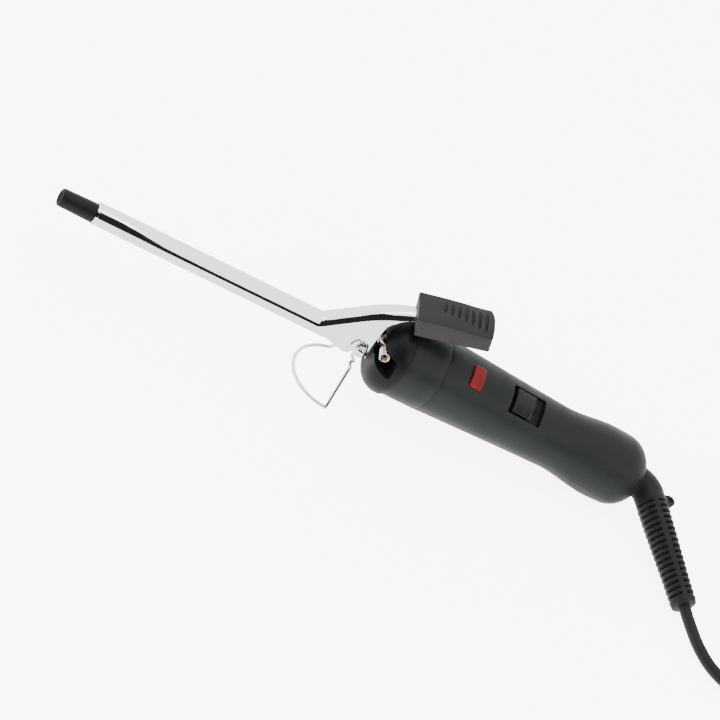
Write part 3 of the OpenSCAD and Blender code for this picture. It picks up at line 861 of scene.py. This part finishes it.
# the nose's flat front face and the round at its edge have the same radius
NOSE_X, NOSE_FLAT = 6.1, 9.4
nose_profile = [(NOSE_X, 0), (NOSE_X, 7.2)]
nose_profile += [(NOSE_X + NOSE_FLAT * (1 - math.cos(a)), NOSE_FLAT * (1 + math.sin(a)))
                 for a in [math.radians(k) for k in range(0, 91, 6)]]
nose_profile += [(16.9, 18.8), (17.3, 18.65), (17.48, 18.3), (17.48, 14.3), (30, 14.3), (30, 0)]
nose = lathe("nose", nose_profile, 112)
nose.data.transform(TO_GRIP)
combine(nose, lathe("tool", [(0, 0), (0, 4.77), (40, 4.77), (40, 0)], 64))
combine(nose, prism("tool", rounded(4.3, 4.3, 1.2, 5, 9.2, 7.3), -20, 20, "Y"))
for y in (-3.2, 3.2):
    combine(nose, prism("ear", rounded(3.9, 3.4, 1.2, 5, 10.2, 8.8), y - 0.7, y + 0.7, "Y"), "UNION")
settle(bevel(nose, 0.35, 3, 40), IRON, "nose_resin", "handle", "nose_cap", angle=32)


# ------------------------------------------------------------------ lens and slide switch

def skin(name, grow):
    """The handle's outer surface moved out a little, closed, to trim pieces to its curve."""
    return lathe(name, [(40, 0)] + [(x, handle_r(x) + grow) for x in range(40, 100, 2)] + [(98, 0)], 180)


lens = box_tool(LAMP_X - 2.93, LAMP_X + 2.93, -5.18, 5.18, 12.5, 25, 0.5)
lens.name = "lens"
combine(lens, skin("tool", 0.95), "INTERSECT")
foot = box_tool(LAMP_X - 3.8, LAMP_X + 3.8, -6, 6, 12, 13, 0.5)
combine(lens, foot, "UNION")
settle(bevel(lens, 0.42, 3, 40), CONTROL, "lens_red", "handle", "indicator_lens", angle=30)

# black tray round the switch
tray = box_tool(SWITCH_X - 8.42, SWITCH_X + 8.42, -6.67, 6.67, RECESS_FLOOR - 0.55, 25, 0.4)
tray.name = "switch_tray"
combine(tray, skin("tool", -0.25), "INTERSECT")
combine(tray, box_tool(SWITCH_X - RECESS_X, SWITCH_X + RECESS_X, -RECESS_Y, RECESS_Y, RECESS_FLOOR, 25, 0.3))
combine(tray, box_tool(SWITCH_X - 5.2, SWITCH_X + 5.2, -1.6, 1.6, 5, 17, 0.4))
settle(bevel(tray, 0.08, 1, 40), CONTROL, "switch_case", "handle", angle=30)

SLIDER_HALF, SLIDER_GAP = 4.8, 2
SLIDER_X = SWITCH_X - RECESS_X + SLIDER_GAP + SLIDER_HALF
slider = box_tool(SLIDER_X - SLIDER_HALF, SLIDER_X + SLIDER_HALF, -5.5, 5.9, RECESS_FLOOR + 0.3, 25, 0.5)
slider.name = "slider"
combine(slider, skin("tool", -0.05), "INTERSECT")
combine(slider, box_tool(SLIDER_X - 1.4, SLIDER_X + 1.4, -1.2, 1.2, 8.6, RECESS_FLOOR + 1, 0.3), "UNION")
# pointer at the near edge
point = [(SLIDER_X + 2.2, -5.4), (SLIDER_X + 3.3, -6.1), (SLIDER_X + 4.2, -5.4)]
combine(slider, prism("tool", point, RECESS_FLOOR + 1, 13.6), "UNION")
bevel(slider, 0.22, 2, 40)
# grip ridges on the near half
for i in range(6):
    x = SLIDER_X - 3.6 + 1.3 * i
    top = [(x, y, math.sqrt(handle_r(x) ** 2 - y * y) + up)
           for y, up in ((-6.2, -0.5), (-4.4, 0), (-2.4, 0.1), (-0.2, 0.35))]
    combine(slider, tube("tool", top, 0.4, 10))
settle(slider, CONTROL, "switch_black", "switch", "switch_slider", angle=30)


# ------------------------------------------------------------------ strain relief

ELBOW_R, ELBOW_A, ELBOW_X, ELBOW_ROLL, RELIEF_R = 9.0, 65.0, 142.8, 96.5, 7.0
BEND = GRIP @ Matrix.Translation((ELBOW_X, 0, 0)) @ Matrix.Rotation(math.radians(ELBOW_ROLL), 4, "X")


def bend_at(angle):
    """Point on the elbow's middle line."""
    a = math.radians(angle)
    return Vector((ELBOW_R * math.sin(a), 0, ELBOW_R * (1 - math.cos(a))))


BOOT = BEND @ Matrix.Translation(bend_at(ELBOW_A)) @ Matrix.Rotation(math.radians(90 - ELBOW_A), 4, "Y")

elbow_path = [(-4.5, 0, 0), (-2.5, 0, 0), (-1, 0, 0)]
elbow_path += [bend_at(ELBOW_A * k / 16) for k in range(17)]
elbow = tube("elbow", elbow_path, lambda s: 6.6 + 0.4 * smooth(s / 0.25), 56, round_ends=False)
settle(elbow, BEND, "relief_rubber", "cord_swivel", "relief_elbow", "swivel_hub", angle=50)

RIB_PITCH, RIB_START, BOOT_LEN = 2.9, 5.2, 56.0


def boot_mesh():
    """Ribbed boot: four rails along it, and windows between the ribs on each side."""
    sides, rows = 128, []
    step = 0.145
    count = int(BOOT_LEN / step)
    verts, faces = [], []
    for i in range(count + 1):
        z = min(i * step, BOOT_LEN)
        full = RELIEF_R - 1.2 * smooth((z - 2) / BOOT_LEN)
        if z > BOOT_LEN - 0.6:
            full -= 0.5 * ((z - BOOT_LEN + 0.6) / 0.6) ** 2
        phase = (z - RIB_START + 0.2) % RIB_PITCH
        inside = RIB_START - 0.2 <= z <= BOOT_LEN - 2.2
        gap = smooth(phase / 0.35) * smooth((1.5 - phase) / 0.35) if inside and phase < 1.5 else 0.0
        crown = 0.28 * math.sin(math.pi * max(0.0, phase - 1.4) / 1.5) if inside and phase >= 1.4 else 0.0
        for k in range(sides):
            a = 360 * k / sides
            off = abs((a - 20 + 45) % 90 - 45)
            window = smooth((off - 9) / 5)
            r = full - 1.55 * gap * window + crown * window * 0.9 - 0.1 * window
            verts.append((r * math.cos(math.radians(a)), r * math.sin(math.radians(a)), z))
    for i in range(count):
        for k in range(sides):
            j = (k + 1) % sides
            faces.append((i * sides + k, i * sides + j, (i + 1) * sides + j, (i + 1) * sides + k))
    faces.append(tuple(range(sides - 1, -1, -1)))
    faces.append(tuple(count * sides + k for k in range(sides)))
    return raw("boot", verts, faces)


settle(boot_mesh(), BOOT, "relief_rubber", "cord_swivel", "relief_boot", angle=60)

# hanging lug at the start of the boot
LUG_X, LUG_R = 10.4, 2.7
lug_outline = [(5.2, -2.4), (8, -2.75)]
lug_outline += [(LUG_X + LUG_R * math.cos(math.radians(a)), LUG_R * math.sin(math.radians(a)))
                for a in range(-80, 81, 10)]
lug_outline += [(8, 2.75), (5.2, 2.6)]
lug = prism("lug", lug_outline, -1.5, 1.5, "Y")
hole = lathe("tool", [(-4, 0), (-4, 1.2), (4, 1.2), (4, 0)], 40)
hole.data.transform(Matrix.Translation((LUG_X, 0, 0)) @ ACROSS)
combine(lug, hole)
settle(bevel(lug, 0.5, 3), BOOT @ Matrix.Translation((0, 0, 2.3)), "relief_rubber", "cord_swivel", angle=45)


# ------------------------------------------------------------------ tie and plug

def tie_band():
    """A strap round the coil's bundle, thin where it passes under."""
    mid = (RINGS[0] + RINGS[2]) / 2
    n, verts, faces = 64, [], []
    for side in (-2.5, 2.5):
        for grow in (0.0, 1.0):
            for k in range(n):
                a = 2 * math.pi * k / n
                c, s = math.cos(a), math.sin(a)
                y = math.copysign(abs(c) ** 0.42, c) * (8.5 + grow)
                z = 8.4 + math.copysign(abs(s) ** 0.42, s) * (8.35 + grow)
                verts.append((side, mid + y, max(z, 0.0 if grow else 0.04)))
    for k in range(n):
        j = (k + 1) % n
        faces.append((k, j, n + j, n + k))
        faces.append((2 * n + k, 3 * n + k, 3 * n + j, 2 * n + j))
        faces.append((n + k, n + j, 3 * n + j, 3 * n + k))
        faces.append((k, 2 * n + k, 2 * n + j, j))
    return recalc(raw("tie", verts, faces))


COIL = WORLD @ Matrix.Translation((COIL_X, COIL_Y, 0))
settle(tie_band(), COIL, "tie_strip", "cord_swivel", "cord_tie", angle=30)

PLUG = (WORLD @ Matrix.Translation((COIL_X + RINGS[1] * math.cos(math.radians(PLUG_TURN)),
                                    COIL_Y + RINGS[1] * math.sin(math.radians(PLUG_TURN)), PLUG_Z))
        @ Matrix.Rotation(math.radians(PLUG_TURN + 90), 4, "Z") @ Matrix.Translation((28, 0, 0)))


def plug_mesh():
    """Moulded plug: a neck with ribs that swells into a flat-sided body."""
    n, verts, faces = 56, [], []
    stations = [(-28, 3.0, 3.0, 2)]
    x = -27.8
    while x < -14.2:
        rib = 0.45 * math.sin(math.pi * ((x + 28) % 2.2) / 2.2) if x > -27 else 0.0
        size = 3.2 + 1.2 * smooth((x + 28) / 13) + rib
        stations.append((x, size, size, 2))
        x += 0.36
    for k in range(13):
        t = smooth(k / 12)
        stations.append((-14 + 5.5 * k / 12, 4.4 + 5.9 * t, 4.4 + 1.3 * t, 2 + 1.6 * t))
    stations += [(-6, 10.6, 5.85, 3.8), (0, 10.9, 5.95, 4), (4.6, 10.9, 5.95, 4), (5.6, 10.6, 5.7, 4),
                 (6, 9.9, 5.1, 4)]
    for x, w, h, power in stations:
        for k in range(n):
            a = 2 * math.pi * k / n
            c, s = math.cos(a), math.sin(a)
            wide = math.copysign(abs(c) ** (2 / power), c) * w
            verts.append((x, wide, math.copysign(abs(s) ** (2 / power), s) * h))
    for i in range(len(stations) - 1):
        for k in range(n):
            j = (k + 1) % n
            faces.append((i * n + k, i * n + j, (i + 1) * n + j, (i + 1) * n + k))
    faces.append(tuple(range(n - 1, -1, -1)))
    faces.append(tuple((len(stations) - 1) * n + k for k in range(n)))
    return recalc(raw("plug", verts, faces))


plug = settle(plug_mesh(), PLUG, "plug_rubber", "cord_swivel", "plug_body", angle=45)
blades = []
outline = [(2, -3.15), (20.2, -3.15), (21.1, -2.1), (21.1, 2.1), (20.2, 3.15), (2, 3.15)]
for y in (-6.35, 6.35):
    blade = prism("blade", outline, y - 0.75, y + 0.75, "Y")
    hole = lathe("tool", [(-4, 0), (-4, 1.5), (4, 1.5), (4, 0)], 32)
    hole.data.transform(Matrix.Translation((17.6, y, 0)) @ ACROSS)
    combine(blade, hole)
    blades.append(bevel(blade, 0.2, 2))
blades = settle(join("blades", *blades), PLUG, "blade_brass", "cord_swivel", "plug_blades", angle=40)


# ------------------------------------------------------------------ inner CAD nodes keep their shape

replaced = {n for o in bpy.data.objects for n in o.get("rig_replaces", [])}
for part in frame["record"]["subparts"]:
    if part["node"] not in replaced:
        node = frame["nodes"][part["node"]]
        node.data.materials.clear()
        node.data.materials.append(LOOKS[part["material_slot"]])
        node.data.shade_smooth()
        node.data.set_sharp_from_angle(angle=math.radians(35))


# ------------------------------------------------------------------ stage

FLOOR_GLOW, SKY = 6.0, 2.6
floor = plane("floor", [(-4, -4, 0), (4, -4, 0), (4, 4, 0), (-4, 4, 0)])
g = Graph("floor_paper")
paper = g.noise(900.0, 4.0, 0.6)
g.set(Base_Color=g.mix(g.spread(paper, 0.3, 0.7, 0, 1), (0.94, 0.94, 0.94, 1), (0.96, 0.96, 0.96, 1)))
g.set(Roughness=g.spread(paper, 0.3, 0.7, 0.85, 0.95))
g.set(Normal=g.bump(paper, 0.05, 0.00005))
g.set(Emission_Color=(1, 1, 1, 1), Emission_Strength=FLOOR_GLOW)
floor.data.materials.append(g.material)
floor.visible_glossy = False


def flag(name, angle, outline, colour=0.004):
    """A dark card seen only in the gloss, turned by an angle from the lever side towards the near side."""
    a = math.radians(angle)
    toward = AXES @ Vector((0, -math.sin(a), math.cos(a)))
    rise = AXES @ Vector((0, math.cos(a), math.sin(a)))
    card = plane(name, [centre + 0.8 * (toward + along * u + rise * v) for u, v in outline])
    g = Graph(name + "_cloth")
    g.set(Base_Color=(colour, colour, colour, 1), Roughness=1.0, Specular_IOR_Level=0.0)
    card.data.materials.append(g.material)
    card.visible_camera = False
    card.visible_diffuse = False
    card.visible_shadow = False
    card.visible_transmission = False


# narrow where the barrel mirrors it, and wide where the sloping arch does
flag("flag_near", 72.6, ((-3, -0.15), (0, -0.15), (0.2, -0.25), (1.3, -0.25), (1.3, 0.25), (0.22, 0.25),
                         (0.12, 0.6), (-0.1, 1.4), (-0.4, 2.2), (-3, 2.2)))

world = bpy.data.worlds.new("studio")
world.use_nodes = True
world.node_tree.nodes["Background"].inputs[0].default_value = (1, 1, 1, 1)
world.node_tree.nodes["Background"].inputs[1].default_value = SKY
bpy.context.scene.world = world

softbox("key", centre + Vector((-0.3, -0.2, 1.2)), centre, 1.0, 0.8, 6.0)
softbox("fill", centre + Vector((0.8, -0.9, 0.5)), centre, 0.6, 0.6, 2.0)
